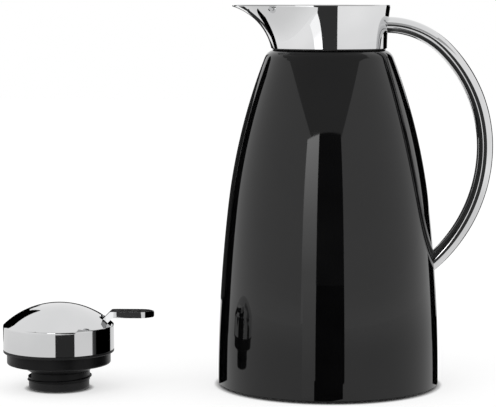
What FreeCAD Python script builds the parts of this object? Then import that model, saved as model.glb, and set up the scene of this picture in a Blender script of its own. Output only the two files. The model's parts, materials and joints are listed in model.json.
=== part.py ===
import FreeCAD, Part
import math
import os

# A thermal carafe with its screw stopper standing beside it.
# Millimetres. The origin is on the carafe's axis, on the table it stands on.
# +X points to the handle, -X to the spout, +Z up.

V = FreeCAD.Vector
UP = V(0, 0, 1)
ACROSS = V(0, 1, 0)
OUTWARD = V(1, 0, 0)

# Clearances
RUN_CLEAR = 0.05
SLIP_CLEAR = 0.1
LOOSE_CLEAR = 0.3

# Lacquered outer shell
BASE_R = 72.7
BELLY_R = 66.2
BELLY_Z = 117.0
SHOULDER_STEP = 2.2
SHELL_TOP_Z = 221.0
SHELL_WALL = 1.0
SHELL_EDGE_R = 3.0
FOOT_LIP = 4.7

# Base
RUBBER_PROUD = 1.0
RUBBER_SUNK = 1.2
RUBBER_W = 6.0
RUBBER_INSET = 2.0
COVER_EDGE_T = 0.7
COVER_EDGE_INSET = 1.0
COVER_RECESS = 2.2
COVER_RIM_W = 4.0
COVER_T = 2.8
SKIRT_W = 4.0
SKIRT_H = 9.0
INSERT_H = 10.0
INSERT_GAP = 2.0

# Chrome collar with the pouring lip
GASKET_T = 0.8
GASKET_INSET = 0.8
COLLAR_R = 37.8
COLLAR_H = 28.2
COLLAR_WALL = 1.2
RIM_FLARE = 2.2
LIP_T = 1.0
SPOUT_REACH = 63.4
SPOUT_LEAN = 13.0
COLLAR_SECTIONS = 7

# Neck inside the collar
NECK_FLANGE_T = 2.2
NECK_FLANGE_GAP = 0.6
NECK_WALL = 5.3
PILOT_STEP = 3.2
ENTRY_FLARE = 4.3
ENTRY_H = 6.7
LEDGE_W = 4.2
LEDGE_T = 2.7
MOUTH_STEP = 0.5
POUR_GAP = 1.5
NUT_WALL = 8.0
NUT_H = 7.0
NUT_GRIPS = 8
NUT_GRIP_R = 3.0

# Double-walled glass liner and its seats
LINER_AIR = 9.2
LINER_NECK_STEP = 1.5
LINER_SHOULDER_H = 64.0
LINER_NECK_H = 13.2
LINER_CORNER_R = 30.0
GLASS_T = 1.8
VACUUM_GAP = 4.0
TIP_R = 4.0
TIP_LEN = 6.0
SUPPORT_H = 8.0
SUPPORT_HOLE_R = 14.0
SUPPORT_INSET = 16.0
MOUTH_SEAL_T = 1.3
MOUTH_SEAL_SKIRT_T = 1.4
MOUTH_SEAL_SKIRT_H = 7.0

# Handle
HANDLE_T = 10.5
HANDLE_W = 17.0
HANDLE_REACH = 102.3
HANDLE_RISE = 80.0
HANDLE_ROOT_H = 15.2
HANDLE_LOW_R = 101.0
HANDLE_SINK = 6.5
TENON_R = 3.0
SCREW_R = 2.0
SCREW_HEAD_R = 3.6
SCREW_HEAD_H = 2.6
SCREW_BITE = 5.5
SCREW_RAISE = 1.9
WASHER_R = 7.0
WASHER_T = 1.5

# Stopper: its place on the table, then its own heights above its foot
STOPPER_X = -176.2
STOPPER_Y = -23.0
PLUG_STEP = 17.6
THREAD_H = 1.2
SEAL_INSET = 0.4
SEAL_H = 5.5
SEAL_W = 3.7
SEAL_EDGE_R = 1.5
PLUG_WALL = 5.7
PLUG_LEN = 16.5
PLUG_LIFT = 1.0
SEAT_T = 1.6
SEAT_W = 3.0
CONE_STEP = 2.4
CONE_DROP = 2.4
CONE_H = 2.5
WINDOW_W = 23.0
WINDOW_DROP = 3.9
WINDOW_H = 4.4
DECK_T = 2.0
GUIDE_R = 5.0
GUIDE_H = 2.5
FLANGE_H = 7.6
FLANGE_STEP = 0.8
FLANGE_EDGE_R = 1.0
GROOVE_STEP = 1.7
CUP_WALL = 1.1
LIP_SEAL_T = 2.0
SPIGOT_H = 5.6

# Chrome cap
CAP_GAP = 0.4
CAP_WALL = 1.2
CAP_SIDE_H = 15.6
CAP_DOME_H = 14.5
CAP_EDGE_R = 1.5

# Thumb lever, its bracket and pin
LEVER_W = 14.6
LEVER_T = 4.0
LEVER_REACH = 26.6
LEVER_RISE = 5.5
LEVER_NOSE_W = 1.6
LEVER_NOSE_R = 2.0
LEVER_TIP_R = 6.8
LEVER_TIP_TURN = 50.0
LEVER_ARM_T = 2.1
LEVER_EDGE_R = 1.0
LEVER_BEND_R = 2.0
LEVER_HUB_R = 4.0
ARM_OVERRUN = 6.0
CROWN_R = 12.0
PIVOT_DROP = 3.5
CROWN_RISE = 1.7
PIN_R = 1.25
PIN_PROUD = 0.8
EAR_R = 2.8
EAR_T = 1.5
EAR_GAP = 0.4
BRACKET_T = 1.5
BRACKET_EDGE = 3.65
BRACKET_SCREW_R = 1.2
BRACKET_SCREW_HEAD_R = 2.3
BRACKET_SCREW_HEAD_H = 1.4
BRACKET_SCREW_BITE = 4.5
BRACKET_SCREW_Y = 5.5
SLOT_GAP = 0.7
SLOT_IN = 0.2

# Valve
STEM_R = 2.5
STEM_FOOT_W = 2.3
STEM_FOOT_T = 1.5
STEM_PROUD = 0.6
NUT_SEAT_GAP = 0.3
STEM_NUT_R = 5.5
STEM_NUT_T = 2.8
VALVE_SEAL_T = 1.7
VALVE_OVERLAP = 1.9
DISC_T = 2.4
DISC_HUB_R = 5.0
DISC_HUB_H = 2.2
DISC_INSET = 0.5
SPRING_R = 7.0
SPRING_WIRE = 0.8
SPRING_TURNS = 4

# Levels and radii that follow from the sizes above
SHOULDER_R = COLLAR_R + SHOULDER_STEP
COVER_FOOT_Z = RUBBER_PROUD
SHELL_BOTTOM_Z = COVER_FOOT_Z + COVER_EDGE_T + SLIP_CLEAR
COVER_FLOOR_Z = COVER_FOOT_Z + COVER_RECESS
COVER_TOP_Z = COVER_FLOOR_Z + COVER_T
SKIRT_R = BASE_R - FOOT_LIP - INSERT_GAP
RUBBER_R = SKIRT_R - RUBBER_INSET
LINER_BOTTOM_Z = COVER_TOP_Z + SUPPORT_H
LINER_R = BELLY_R - SHELL_WALL - LINER_AIR
SUPPORT_R = LINER_R - SUPPORT_INSET

COLLAR_Z = SHELL_TOP_Z + GASKET_T
PLUG_R = COLLAR_R - PLUG_STEP
RIM_Z = COLLAR_Z + COLLAR_H
NECK_TOP_Z = COLLAR_Z + COLLAR_WALL + NECK_FLANGE_T
SEAT_Z = NECK_TOP_Z + POUR_GAP - PLUG_LEN
NECK_FOOT_Z = SEAT_Z - LEDGE_T
LINER_TOP_Z = NECK_FOOT_Z - MOUTH_SEAL_T
LINER_NECK_Z = LINER_TOP_Z - LINER_NECK_H
LINER_SHOULDER_Z = LINER_NECK_Z - LINER_SHOULDER_H
NECK_BORE_R = PLUG_R + THREAD_H + LOOSE_CLEAR
NECK_TUBE_R = NECK_BORE_R + NECK_WALL
LINER_NECK_R = NECK_TUBE_R - LINER_NECK_STEP
PILOT_R = NECK_TUBE_R + PILOT_STEP
COLLAR_FLOOR_R = PILOT_R + LOOSE_CLEAR
SHELL_MOUTH_R = COLLAR_FLOOR_R + MOUTH_STEP
LEDGE_R = NECK_BORE_R - LEDGE_W

CAP_R = COLLAR_R - COLLAR_WALL - CAP_GAP
SPIGOT_R = CAP_R - CAP_WALL - LOOSE_CLEAR
FLANGE_R = SPIGOT_R - FLANGE_STEP
GROOVE_R = SPIGOT_R - GROOVE_STEP
CUP_R = GROOVE_R - CUP_WALL
FLANGE_TOP_Z = PLUG_LEN + FLANGE_H
CAP_FOOT_Z = FLANGE_TOP_Z + LIP_SEAL_T
CAP_SIDE_Z = CAP_FOOT_Z + CAP_SIDE_H
CAP_TOP_Z = CAP_SIDE_Z + CAP_DOME_H
DECK_Z = PLUG_LEN + DECK_T
CONE_R = PLUG_R + CONE_STEP
CONE_TOP_Z = PLUG_LEN - CONE_DROP
CONE_FOOT_Z = CONE_TOP_Z - CONE_H
WINDOW_Z = PLUG_LEN - WINDOW_DROP - WINDOW_H
PLUG_BORE_R = PLUG_R - PLUG_WALL
SEAT_TOP_Z = PLUG_LIFT + SEAT_T
SEAT_HOLE_R = PLUG_BORE_R - SEAT_W
SEAL_R = PLUG_R - SEAL_INSET
SEAL_BORE_R = SEAL_R - SEAL_W

EAR_Y = LEVER_W / 2 + EAR_GAP
PIVOT_X = math.sqrt((CUP_R - LOOSE_CLEAR) ** 2 - (EAR_Y + EAR_T) ** 2) - EAR_R
PIVOT_Z = CAP_SIDE_Z - PIVOT_DROP
CROWN_Z = PIVOT_Z + CROWN_RISE
LEVER_Z = CAP_SIDE_Z + LEVER_RISE
LEVER_BEND_X = CAP_R
LEVER_TIP_X = CAP_R + LEVER_REACH
STEM_NUT_Z = CROWN_Z + NUT_SEAT_GAP
VALVE_SEAL_Z = SEAT_TOP_Z + SLIP_CLEAR
DISC_Z = VALVE_SEAL_Z + VALVE_SEAL_T
VALVE_SEAL_R = SEAT_HOLE_R + VALVE_OVERLAP
STEM_FOOT_R = STEM_R + STEM_FOOT_W


# Outlines
def at(x, z):
    return V(x, 0, z)


def line(a, b):
    return Part.LineSegment(a, b).toShape()


def arc(a, middle, b):
    return Part.Arc(a, middle, b).toShape()


def on_circle(centre, radius, degrees):
    turn = math.radians(degrees)
    return centre + V(radius * math.cos(turn), 0, radius * math.sin(turn))


def arc_about(centre, radius, start, end):
    middle = on_circle(centre, radius, (start + end) / 2)
    return arc(on_circle(centre, radius, start), middle, on_circle(centre, radius, end))


def angle_from(centre, point):
    return math.degrees(math.atan2(point.z - centre.z, point.x - centre.x))


def rounded(corners):
    """A closed outline in the XZ plane. Each corner is (x, z) or (x, z, rounding radius)."""
    points = [at(corner[0], corner[1]) for corner in corners]
    turns = []
    for i, corner in enumerate(corners):
        here = points[i]
        if len(corner) == 2:
            turns.append((here, None, here))
            continue
        back = (points[i - 1] - here).normalize()
        on = (points[(i + 1) % len(points)] - here).normalize()
        half = back.getAngle(on) / 2
        inward = (back + on).normalize()
        centre = here + inward * (corner[2] / math.sin(half))
        leg = corner[2] / math.tan(half)
        turns.append((here + back * leg, centre - inward * corner[2], here + on * leg))
    edges = []
    for i, (start, middle, end) in enumerate(turns):
        if middle is not None:
            edges.append(arc(start, middle, end))
        following = turns[(i + 1) % len(turns)][0]
        if end.distanceToPoint(following) > 1e-6:
            edges.append(line(end, following))
    return edges


def face_of(edges):
    return Part.Face(Part.Wire(edges))


def turned(edges):
    """A solid of revolution about the Z axis."""
    return face_of(edges).revolve(V(0, 0, 0), UP, 360)


def rod(radius, length, foot, direction=UP):
    return Part.makeCylinder(radius, length, foot, direction)


def ring(outer, inner, low, high):
    return turned(rounded([(inner, low), (outer, low), (outer, high), (inner, high)]))


# Shell flank: two tangent arcs and a rounded top edge. A hollow arc has a negative radius.
def arc_from_tangent(start, inward, end):
    """Radius of the arc that leaves start square to inward and passes through end."""
    chord = end - start
    return chord.Length ** 2 / (2 * chord.dot(inward))


LOW_R = arc_from_tangent(at(BASE_R, 0), at(-1, 0), at(BELLY_R, BELLY_Z))
LOW_C = at(BASE_R - LOW_R, 0)
BELLY = at(BELLY_R, BELLY_Z)
BELLY_INWARD = (LOW_C - BELLY) * (1 / LOW_R)
HIGH_R = arc_from_tangent(BELLY, BELLY_INWARD, at(SHOULDER_R, SHELL_TOP_Z))
HIGH_C = BELLY + BELLY_INWARD * HIGH_R
EDGE_Z = SHELL_TOP_Z - SHELL_EDGE_R


def arc_x(centre, radius, z):
    """Where the arc stands at height z."""
    return centre.x + math.copysign(math.sqrt(radius ** 2 - (z - centre.z) ** 2), radius)


def arc_angle(centre, radius, point):
    """Angle of the outward normal at a point of the arc."""
    return math.degrees(math.atan2((point.z - centre.z) / radius, (point.x - centre.x) / radius))


EDGE_C = at(arc_x(HIGH_C, HIGH_R - SHELL_EDGE_R, EDGE_Z), EDGE_Z)


def shell_radius(z):
    if z <= BELLY_Z:
        return arc_x(LOW_C, LOW_R, z)
    return arc_x(HIGH_C, HIGH_R, z)


def shell_solid(inset):
    """The filled shell, drawn in by inset all round."""
    foot_z = SHELL_BOTTOM_Z + inset
    low_angle = math.degrees(math.asin(foot_z / (LOW_R - inset)))
    belly_angle = arc_angle(LOW_C, LOW_R, BELLY)
    edge_angle = arc_angle(HIGH_C, HIGH_R - SHELL_EDGE_R, EDGE_C)
    foot = on_circle(LOW_C, LOW_R - inset, low_angle)
    top = SHELL_TOP_Z - inset
    return turned([
        line(at(0, foot_z), foot),
        arc_about(LOW_C, LOW_R - inset, low_angle, belly_angle),
        arc_about(HIGH_C, HIGH_R - inset, belly_angle, edge_angle),
        arc_about(EDGE_C, SHELL_EDGE_R - inset, edge_angle, 90),
        line(at(EDGE_C.x, top), at(0, top)),
        line(at(0, top), at(0, foot_z)),
    ])


# Handle line: from the collar over the hand's width and back to the shell
HANDLE_TOP_Z = COLLAR_Z + HANDLE_ROOT_H
HANDLE_MID_Z = HANDLE_TOP_Z - HANDLE_RISE
HALF_TURN = math.radians(45)
SPAN_X = HANDLE_REACH - COLLAR_R
BOW_IN = 1 - math.cos(HALF_TURN)
BOW_UP = math.sin(HALF_TURN)
GRIP_R = (BOW_UP * HANDLE_RISE - BOW_IN * SPAN_X) / (BOW_UP ** 2 - BOW_IN ** 2)
CREST_R = (BOW_UP * SPAN_X - BOW_IN * HANDLE_RISE) / (BOW_UP ** 2 - BOW_IN ** 2)
GRIP_C = at(HANDLE_REACH - GRIP_R, HANDLE_MID_Z)
CREST_C = at(COLLAR_R, HANDLE_TOP_Z - CREST_R)
LOW_GRIP_C = at(HANDLE_REACH - HANDLE_LOW_R, HANDLE_MID_Z)


def handle_angle_at_depth(depth):
    """Angle on the handle's lower arc where its line lies depth inside the shell's surface."""
    outside, inside = 0.0, -80.0
    for _ in range(50):
        middle = (outside + inside) / 2
        point = on_circle(LOW_GRIP_C, HANDLE_LOW_R, middle)
        if point.x > shell_radius(point.z) - depth:
            outside = middle
        else:
            inside = middle
    return inside


FOOT = on_circle(LOW_GRIP_C, HANDLE_LOW_R, handle_angle_at_depth(0))
SCREW_Z = FOOT.z + SCREW_RAISE
SCREW_FACE_X = shell_radius(SCREW_Z)
HEAD_X = SCREW_FACE_X - SHELL_WALL - WASHER_T


def outer_shell():
    shell = shell_solid(0).cut(shell_solid(SHELL_WALL))
    mouth = rod(SHELL_MOUTH_R, 4 * SHELL_WALL, at(0, SHELL_TOP_Z - 2 * SHELL_WALL))
    foot = rod(BASE_R - FOOT_LIP, 4 * SHELL_WALL, at(0, SHELL_BOTTOM_Z - SHELL_WALL))
    screw = rod(SCREW_R + LOOSE_CLEAR, WASHER_R, at(SCREW_FACE_X - WASHER_R / 2, SCREW_Z), OUTWARD)
    return shell.cut(mouth).cut(foot).cut(screw)


# Base
def base_cover():
    rubber_in = RUBBER_R - RUBBER_W
    rim_in = rubber_in - COVER_RIM_W
    groove_z = COVER_FOOT_Z + RUBBER_SUNK
    edge_r = BASE_R - COVER_EDGE_INSET
    edge_z = COVER_FOOT_Z + COVER_EDGE_T
    return turned(rounded([
        (0, COVER_FLOOR_Z),
        (rim_in, COVER_FLOOR_Z, COVER_RECESS / 3),
        (rim_in + COVER_RECESS / 2, COVER_FOOT_Z),
        (rubber_in - SLIP_CLEAR, COVER_FOOT_Z),
        (rubber_in - SLIP_CLEAR, groove_z),
        (RUBBER_R + SLIP_CLEAR, groove_z),
        (RUBBER_R + SLIP_CLEAR, COVER_FOOT_Z),
        (edge_r, COVER_FOOT_Z, COVER_EDGE_T / 2),
        (edge_r, edge_z),
        (SKIRT_R, edge_z),
        (SKIRT_R, COVER_TOP_Z + SKIRT_H),
        (SKIRT_R - SKIRT_W, COVER_TOP_Z + SKIRT_H),
        (SKIRT_R - SKIRT_W, COVER_TOP_Z),
        (0, COVER_TOP_Z),
    ]))


def base_insert_ring():
    foot = SHELL_BOTTOM_Z + SHELL_WALL
    outer = shell_radius(foot + INSERT_H) - SHELL_WALL - SLIP_CLEAR
    return ring(outer, SKIRT_R + LOOSE_CLEAR, foot, foot + INSERT_H)


def anti_slip_ring():
    edge = RUBBER_PROUD / 2
    rubber_in = RUBBER_R - RUBBER_W
    top = COVER_FOOT_Z + RUBBER_SUNK
    return turned(rounded([(rubber_in, 0, edge), (RUBBER_R, 0, edge), (RUBBER_R, top), (rubber_in, top)]))


# Collar: round at its foot and drawn out to a pouring lip at its rim
SPOUT_FOOT = at(COLLAR_R, COLLAR_Z)
SPOUT_OUTWARD = at(math.cos(math.radians(SPOUT_LEAN)), -math.sin(math.radians(SPOUT_LEAN)))
SPOUT_R = arc_from_tangent(SPOUT_FOOT, SPOUT_OUTWARD, at(SPOUT_REACH, RIM_Z - LIP_T))
SPOUT_C = SPOUT_FOOT + SPOUT_OUTWARD * SPOUT_R


def collar_radius(z):
    return COLLAR_R + RIM_FLARE * ((z - COLLAR_Z) / (COLLAR_H - LIP_T)) ** 2


def spout_reach(z, inset):
    return SPOUT_C.x - math.sqrt((SPOUT_R + inset) ** 2 - (z - SPOUT_C.z) ** 2)


def collar_section(z, inset):
    """An egg outline: a half circle at the handle and a half ellipse that reaches the lip."""
    radius = collar_radius(z) - inset
    stretch = FreeCAD.Matrix()
    stretch.scale(spout_reach(z, inset) / radius, 1, 1)

    def quarter(start):
        turns = [math.radians(start + step) for step in (0, 45, 90)]
        return arc(*[V(radius * math.cos(turn), radius * math.sin(turn), z) for turn in turns])

    back = [quarter(-90), quarter(0)]
    front = [quarter(90).transformGeometry(stretch), quarter(180).transformGeometry(stretch)]
    return Part.Wire(back + front)


def collar_loft(low, high, inset):
    """Sections crowd towards the top, where the lip turns outward."""
    sections = []
    for i in range(COLLAR_SECTIONS):
        share = math.sin(math.pi / 2 * i / (COLLAR_SECTIONS - 1))
        sections.append(collar_section(low + share * (high - low), inset))
    return Part.makeLoft(sections, True)


def collar_solid():
    rim = Part.Face(collar_section(RIM_Z - LIP_T, 0)).extrude(UP * LIP_T)
    return collar_loft(COLLAR_Z, RIM_Z - LIP_T, 0).fuse(rim)


def collar():
    cavity = collar_loft(COLLAR_Z + COLLAR_WALL, RIM_Z + LIP_T / 4, COLLAR_WALL)
    floor_hole = rod(COLLAR_FLOOR_R, 4 * COLLAR_WALL, at(0, COLLAR_Z - COLLAR_WALL))
    tenon_start = at(COLLAR_R - 4 * COLLAR_WALL, HANDLE_TOP_Z)
    tenon_hole = rod(TENON_R + RUN_CLEAR, 8 * COLLAR_WALL, tenon_start, OUTWARD)
    return collar_solid().cut(cavity).cut(floor_hole).cut(tenon_hole)


def collar_gasket():
    return ring(COLLAR_R - GASKET_INSET, SHELL_MOUTH_R, SHELL_TOP_Z, COLLAR_Z)


# Neck
def neck_ring():
    flange_z = COLLAR_Z + COLLAR_WALL
    flange_r = COLLAR_R - COLLAR_WALL - NECK_FLANGE_GAP
    pilot_z = SHELL_TOP_Z - SHELL_WALL
    return turned(rounded([
        (LEDGE_R, NECK_FOOT_Z),
        (NECK_TUBE_R, NECK_FOOT_Z),
        (NECK_TUBE_R, pilot_z),
        (PILOT_R, pilot_z),
        (PILOT_R, flange_z),
        (flange_r, flange_z),
        (flange_r, NECK_TOP_Z, NECK_FLANGE_T / 3),
        (NECK_BORE_R + ENTRY_FLARE, NECK_TOP_Z, NECK_FLANGE_T / 3),
        (NECK_BORE_R, NECK_TOP_Z - ENTRY_H),
        (NECK_BORE_R, SEAT_Z),
        (LEDGE_R, SEAT_Z),
    ]))


def neck_nut():
    top = SHELL_TOP_Z - SHELL_WALL
    nut_r = NECK_TUBE_R + NUT_WALL
    nut = ring(nut_r, NECK_TUBE_R + SLIP_CLEAR, top - NUT_H, top)
    grip = rod(NUT_GRIP_R, NUT_H / 2, at(nut_r + NUT_GRIP_R / 3, top - NUT_H))
    for i in range(NUT_GRIPS):
        one = grip.copy()
        one.rotate(V(0, 0, 0), UP, 360 * i / NUT_GRIPS)
        nut = nut.cut(one)
    return nut


# Liner
def liner_edges(inset):
    """The liner's outer line from its bottom to its neck, drawn in by inset."""
    half_x = (LINER_R - LINER_NECK_R) / 2
    half_z = (LINER_NECK_Z - LINER_SHOULDER_Z) / 2
    sweep = 2 * math.degrees(math.atan2(half_x, half_z))
    bend = half_z / math.sin(math.radians(sweep))
    corner = at(LINER_R - LINER_CORNER_R, LINER_BOTTOM_Z + LINER_CORNER_R)
    shoulder = at(LINER_R - bend, LINER_SHOULDER_Z)
    throat = at(LINER_NECK_R + bend, LINER_NECK_Z)
    return [
        line(at(0, LINER_BOTTOM_Z + inset), at(corner.x, LINER_BOTTOM_Z + inset)),
        arc_about(corner, LINER_CORNER_R - inset, -90, 0),
        line(at(LINER_R - inset, corner.z), at(LINER_R - inset, LINER_SHOULDER_Z)),
        arc_about(shoulder, bend - inset, 0, sweep),
        arc_about(throat, bend + inset, 180 + sweep, 180),
    ]


def liner_fill(inset, top):
    neck = LINER_NECK_R - inset
    return turned(liner_edges(inset) + [
        line(at(neck, LINER_NECK_Z), at(neck, top)),
        line(at(neck, top), at(0, top)),
        line(at(0, top), at(0, LINER_BOTTOM_Z + inset)),
    ])


def glass_liner():
    """Two glass walls, joined at the lip, with an evacuated space between them."""
    inner_wall = GLASS_T + VACUUM_GAP
    vacuum = liner_fill(GLASS_T, LINER_TOP_Z - GLASS_T).cut(liner_fill(inner_wall, LINER_TOP_Z))
    contents = liner_fill(inner_wall + GLASS_T, LINER_TOP_Z)
    tip = turned(rounded([
        (0, LINER_BOTTOM_Z - TIP_LEN),
        (TIP_R / 2, LINER_BOTTOM_Z - TIP_LEN, TIP_R / 4),
        (TIP_R, LINER_BOTTOM_Z + GLASS_T / 2),
        (0, LINER_BOTTOM_Z + GLASS_T / 2),
    ]))
    return liner_fill(0, LINER_TOP_Z).cut(contents).cut(vacuum).fuse(tip).removeSplitter()


def liner_support():
    """A rubber cup between the base cover and the liner's rounded bottom."""
    blank = ring(SUPPORT_R, SUPPORT_HOLE_R, COVER_TOP_Z, COVER_TOP_Z + 2 * SUPPORT_H)
    return blank.cut(liner_fill(-SLIP_CLEAR, LINER_TOP_Z))


def liner_mouth_seal():
    skirt_r = LINER_NECK_R + SLIP_CLEAR
    outer = skirt_r + MOUTH_SEAL_SKIRT_T
    bore = LINER_NECK_R - 2 * GLASS_T - VACUUM_GAP
    low = LINER_TOP_Z - MOUTH_SEAL_SKIRT_H
    return turned(rounded([
        (skirt_r, low),
        (outer, low, MOUTH_SEAL_SKIRT_T / 3),
        (outer, NECK_FOOT_Z),
        (bore, NECK_FOOT_Z),
        (bore, LINER_TOP_Z),
        (skirt_r, LINER_TOP_Z),
    ]))


# Handle
def handle_sweep():
    end = handle_angle_at_depth(HANDLE_SINK)
    root = at(COLLAR_R - HANDLE_SINK, HANDLE_TOP_Z)
    path = Part.Wire([
        line(root, at(COLLAR_R, HANDLE_TOP_Z)),
        arc_about(CREST_C, CREST_R, 90, 45),
        arc_about(GRIP_C, GRIP_R, 45, 0),
        arc_about(LOW_GRIP_C, HANDLE_LOW_R, 0, end),
    ])
    section = Part.Ellipse(root + ACROSS * (HANDLE_W / 2), root + UP * (HANDLE_T / 2), root)
    return path.makePipeShell([Part.Wire(section.toShape())], True, False)


def handle():
    """Oval bar with a tenon through the collar's wall and a blind hole for the screw below."""
    bar = handle_sweep().cut(collar_solid()).cut(shell_solid(0))
    tenon = rod(TENON_R, HANDLE_SINK + HANDLE_T, at(COLLAR_R - HANDLE_SINK, HANDLE_TOP_Z), OUTWARD)
    flush = collar_loft(COLLAR_Z + COLLAR_WALL, RIM_Z, COLLAR_WALL)
    hole = rod(SCREW_R + RUN_CLEAR, 2 * SCREW_BITE, at(SCREW_FACE_X - SCREW_BITE, SCREW_Z), OUTWARD)
    return bar.fuse(tenon.cut(flush)).removeSplitter().cut(hole)


def handle_washer():
    """Saddle washer, curved to the inside of the shell."""
    disc = rod(WASHER_R, 2 * WASHER_T, at(HEAD_X, SCREW_Z), OUTWARD)
    hole = rod(SCREW_R + LOOSE_CLEAR, 4 * WASHER_T, at(HEAD_X - WASHER_T, SCREW_Z), OUTWARD)
    return disc.common(shell_solid(SHELL_WALL)).cut(hole)


def handle_screw():
    head = rod(SCREW_HEAD_R, SCREW_HEAD_H, at(HEAD_X - SCREW_HEAD_H, SCREW_Z), OUTWARD)
    shank_len = SCREW_FACE_X + SCREW_BITE - HEAD_X - LOOSE_CLEAR
    shank = rod(SCREW_R, shank_len, at(HEAD_X, SCREW_Z), OUTWARD)
    return head.fuse(shank)


# Stopper, drawn about its own axis
def neck_seal():
    return turned(rounded([
        (SEAL_BORE_R, 0),
        (SEAL_R, 0, SEAL_EDGE_R),
        (SEAL_R, SEAL_H),
        (SEAL_BORE_R, SEAL_H),
    ]))


def stopper_body():
    """Plug with its valve seat, flange and the cup that carries the cap."""
    stub_r = SEAL_BORE_R - SLIP_CLEAR
    shoulder_z = SEAL_H + 2 * SLIP_CLEAR
    spigot_top = CAP_FOOT_Z + SPIGOT_H
    body = turned(rounded([
        (SEAT_HOLE_R, PLUG_LIFT),
        (stub_r, PLUG_LIFT),
        (stub_r, shoulder_z),
        (PLUG_R, shoulder_z),
        (PLUG_R, CONE_FOOT_Z),
        (CONE_R, CONE_TOP_Z),
        (CONE_R, PLUG_LEN),
        (FLANGE_R, PLUG_LEN, FLANGE_EDGE_R),
        (FLANGE_R, FLANGE_TOP_Z),
        (GROOVE_R, FLANGE_TOP_Z),
        (GROOVE_R, CAP_FOOT_Z),
        (SPIGOT_R, CAP_FOOT_Z),
        (SPIGOT_R, spigot_top),
        (CUP_R, spigot_top),
        (CUP_R, DECK_Z),
        (GUIDE_R, DECK_Z),
        (GUIDE_R, DECK_Z + GUIDE_H),
        (STEM_R + SLIP_CLEAR, DECK_Z + GUIDE_H),
        (STEM_R + SLIP_CLEAR, PLUG_LEN),
        (PLUG_BORE_R, PLUG_LEN),
        (PLUG_BORE_R, SEAT_TOP_Z),
        (SEAT_HOLE_R, SEAT_TOP_Z),
    ]))
    window = Part.makeBox(CONE_R, WINDOW_W, WINDOW_H, V(-CONE_R, -WINDOW_W / 2, WINDOW_Z))
    body = body.cut(window)
    for foot in bracket_screw_places():
        depth = BRACKET_SCREW_BITE + LOOSE_CLEAR
        body = body.cut(rod(BRACKET_SCREW_R + RUN_CLEAR, depth, foot - UP * depth))
    return body


def collar_lip_seal():
    edge = LIP_SEAL_T / 4
    low = FLANGE_TOP_Z
    inner = GROOVE_R + SLIP_CLEAR
    return turned(rounded([
        (inner, low),
        (CAP_R, low, edge),
        (CAP_R, CAP_FOOT_Z, edge),
        (inner, CAP_FOOT_Z),
    ]))


def cap_fill(inset):
    """The filled cap: a straight side, a small rounded edge and a shallow dome."""
    radius = CAP_R - inset
    dome_r = (CAP_R ** 2 + CAP_DOME_H ** 2) / (2 * CAP_DOME_H)
    centre = at(0, CAP_TOP_Z - dome_r)
    edge_r = CAP_EDGE_R - inset / 2
    edge_x = radius - edge_r
    edge_z = centre.z + math.sqrt((dome_r - inset - edge_r) ** 2 - edge_x ** 2)
    edge_c = at(edge_x, edge_z)
    lean = angle_from(centre, edge_c)
    foot = CAP_FOOT_Z - inset
    return turned([
        line(at(0, foot), at(radius, foot)),
        line(at(radius, foot), at(radius, edge_z)),
        arc_about(edge_c, edge_r, 0, lean),
        arc_about(centre, dome_r - inset, lean, 90),
        line(at(0, CAP_TOP_Z - inset), at(0, foot)),
    ])


def cap_shell():
    slot_w = LEVER_W + 2 * SLOT_GAP
    slot_in = PIVOT_X + SLOT_IN
    slot_len = CAP_R - CAP_WALL - slot_in
    slot_corner = V(slot_in, -slot_w / 2, CAP_SIDE_Z - CAP_WALL)
    slot = Part.makeBox(slot_len, slot_w, CAP_DOME_H + CAP_WALL, slot_corner)
    return cap_fill(0).cut(cap_fill(CAP_WALL)).cut(slot)


def bracket_screw_places():
    mid_r = (PLUG_BORE_R + PLUG_R) / 2
    x = math.sqrt(mid_r ** 2 - BRACKET_SCREW_Y ** 2)
    return [V(x, side * BRACKET_SCREW_Y, DECK_Z) for side in (-1, 1)]


def lever_bracket():
    """Folded sheet: a base on the deck and two ears that hold the pin."""
    ear_x = PIVOT_X + EAR_R
    inner_x = bracket_screw_places()[0].x - BRACKET_EDGE
    width = 2 * (EAR_Y + EAR_T)
    base = Part.makeBox(ear_x - inner_x, width, BRACKET_T, V(inner_x, -width / 2, DECK_Z))
    ear_edges = rounded([
        (PIVOT_X - EAR_R, DECK_Z),
        (ear_x, DECK_Z),
        (ear_x, PIVOT_Z + EAR_R, EAR_R - RUN_CLEAR),
        (PIVOT_X - EAR_R, PIVOT_Z + EAR_R, EAR_R - RUN_CLEAR),
    ])
    bracket = base
    for y in (EAR_Y, -EAR_Y - EAR_T):
        ear = face_of(ear_edges).extrude(ACROSS * EAR_T)
        ear.translate(ACROSS * y)
        bracket = bracket.fuse(ear)
    bracket = bracket.removeSplitter().cut(pin_rod(PIN_R + RUN_CLEAR, width))
    for foot in bracket_screw_places():
        bracket = bracket.cut(rod(BRACKET_SCREW_R + LOOSE_CLEAR, BRACKET_T, foot))
    return bracket


def bracket_screws():
    screws = []
    for foot in bracket_screw_places():
        shank = rod(BRACKET_SCREW_R, BRACKET_SCREW_BITE + BRACKET_T, foot - UP * BRACKET_SCREW_BITE)
        head = rod(BRACKET_SCREW_HEAD_R, BRACKET_SCREW_HEAD_H, foot + UP * BRACKET_T)
        screws.append(shank.fuse(head))
    return Part.Compound(screws)


def pin_rod(radius, length):
    return rod(radius, length, V(PIVOT_X, -length / 2, PIVOT_Z), ACROSS)


def lever_pin():
    return pin_rod(PIN_R, 2 * (EAR_Y + EAR_T + PIN_PROUD))


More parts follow.
